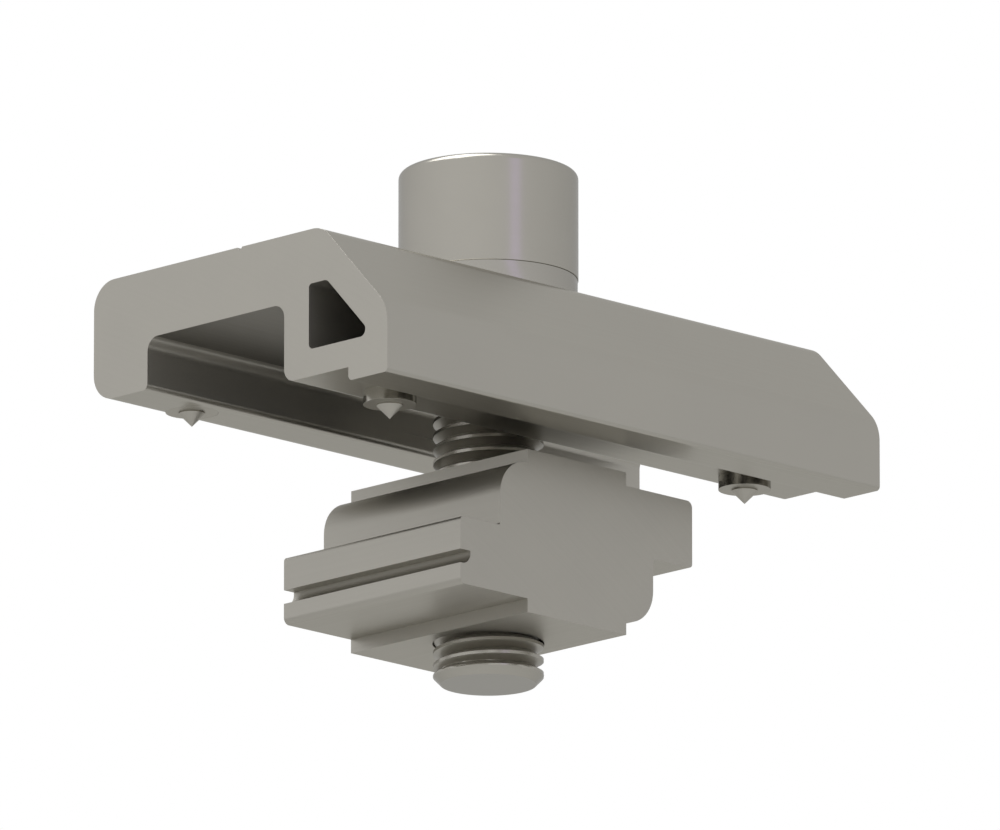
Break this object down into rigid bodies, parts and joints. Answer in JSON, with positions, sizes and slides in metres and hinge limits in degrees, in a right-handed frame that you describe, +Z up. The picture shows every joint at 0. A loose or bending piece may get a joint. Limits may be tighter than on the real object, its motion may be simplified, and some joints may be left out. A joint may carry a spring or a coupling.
{
  "type": "solar rail clamp",
  "caption": "Extruded clamp bar with earthing pins, a socket head screw with a spring washer and a slot nut, which screws one mounting rail down across another.",
  "frame": {"origin": "on the screw's axis, in the plane of the long leg's foot", "axes": "+Z up along the screw towards its head, +X across the bar towards the long leg, +Y along the bar"},
  "size_m": [0.03, 0.05, 0.0379],
  "materials": {
    "bar_aluminium": "satin extruded",
    "nut_aluminium": "satin extruded",
    "screw_steel": "bright turned stainless",
    "washer_steel": "bright spring steel",
    "pin_steel": "turned stainless"
  },
  "bodies": {
    "clamp": {"clamp_bar": "bar_aluminium", "long_leg_near_pin": "pin_steel", "long_leg_far_pin": "pin_steel", "short_leg_near_pin": "pin_steel", "short_leg_far_pin": "pin_steel"},
    "screw": {"clamp_screw": "screw_steel", "spring_washer": "washer_steel"},
    "nut": {"slot_nut": "nut_aluminium"}
  },
  "joints": [
    {"name": "screw_turn", "type": "hinge", "parent": "clamp", "child": "screw", "pos_m": [0, 0, 0], "axis": [0, 0, 1], "range_deg": [-720, 1080]},
    {"name": "nut_travel", "type": "slide", "parent": "clamp", "child": "nut", "axis": [0, 0, 1], "range_m": [-0.003, 0.002]}
  ],
  "couplings": [
    {"joint": "nut_travel", "follows": "screw_turn", "m_per_rad": -0.00015915}
  ]
}
